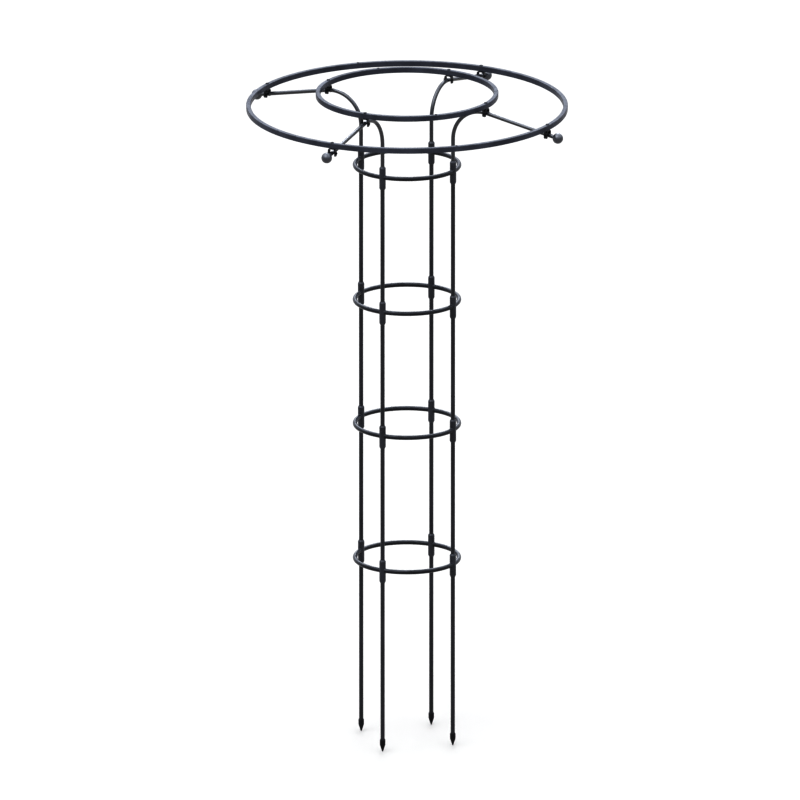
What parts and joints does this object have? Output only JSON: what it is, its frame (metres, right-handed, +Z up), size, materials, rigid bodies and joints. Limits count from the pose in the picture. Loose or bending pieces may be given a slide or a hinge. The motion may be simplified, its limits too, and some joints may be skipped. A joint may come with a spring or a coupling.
{
  "type": "garden obelisk",
  "caption": "Tubular plant obelisk: straight legs tied by hoops, bent arms carrying two crown rings like an umbrella, ball finials and ground spikes.",
  "frame": {"origin": "on the ground plane of the spike tips, on the column's vertical axis", "axes": "+Z up along the column; the legs stand at 45 degrees between the axes, the ring seams lie on +Y and -Y, -Y faces the viewer"},
  "size_m": [0.9998, 1, 2.1043],
  "materials": {
    "tube_coat": "satin black powder coat on round steel tube",
    "ring_coat": "satin black powder coat on flat-sided steel tube",
    "socket_coat": "satin black powder coat",
    "bracket_coat": "satin black powder coat on bent steel strip",
    "spike_plastic": "matt black moulded plastic",
    "ball_lacquer": "satin dark grey-black coat",
    "fastener_black": "blackened zinc-plated steel",
    "joiner_steel": "bare steel, hidden inside the rings"
  },
  "bodies": {
    "root": {"arm_back_left": "tube_coat", "arm_back_right": "tube_coat", "arm_bolt_nuts": "fastener_black", "arm_bolts": "fastener_black", "arm_front_left": "tube_coat", "arm_front_right": "tube_coat", "ball_finial_back_left": "ball_lacquer", "ball_finial_back_right": "ball_lacquer", "ball_finial_front_left": "ball_lacquer", "ball_finial_front_right": "ball_lacquer", "bottom_hoop": "tube_coat", "bottom_socket_back_left": "socket_coat", "bottom_socket_back_right": "socket_coat", "bottom_socket_front_left": "socket_coat", "bottom_socket_front_right": "socket_coat", "bracket_screws": "fastener_black", "ground_leg_back_left": "tube_coat", "ground_leg_back_right": "tube_coat", "ground_leg_front_left": "tube_coat", "ground_leg_front_right": "tube_coat", "inner_ring_brackets": "bracket_coat", "inner_ring_left": "ring_coat", "inner_ring_right": "ring_coat", "lower_hoop": "tube_coat", "lower_post_back_left": "tube_coat", "lower_post_back_right": "tube_coat", "lower_post_front_left": "tube_coat", "lower_post_front_right": "tube_coat", "lower_socket_back_left": "socket_coat", "lower_socket_back_right": "socket_coat", "lower_socket_front_left": "socket_coat", "lower_socket_front_right": "socket_coat", "middle_post_back_left": "tube_coat", "middle_post_back_right": "tube_coat", "middle_post_front_left": "tube_coat", "middle_post_front_right": "tube_coat", "outer_ring_brackets": "bracket_coat", "outer_ring_left": "ring_coat", "outer_ring_right": "ring_coat", "ring_joiners": "joiner_steel", "seam_screws": "fastener_black", "spike_back_left": "spike_plastic", "spike_back_right": "spike_plastic", "spike_front_left": "spike_plastic", "spike_front_right": "spike_plastic", "top_hoop": "tube_coat", "top_socket_back_left": "socket_coat", "top_socket_back_right": "socket_coat", "top_socket_front_left": "socket_coat", "top_socket_front_right": "socket_coat", "upper_hoop": "tube_coat", "upper_post_back_left": "tube_coat", "upper_post_back_right": "tube_coat", "upper_post_front_left": "tube_coat", "upper_post_front_right": "tube_coat", "upper_socket_back_left": "socket_coat", "upper_socket_back_right": "socket_coat", "upper_socket_front_left": "socket_coat", "upper_socket_front_right": "socket_coat"}
  },
  "joints": []
}
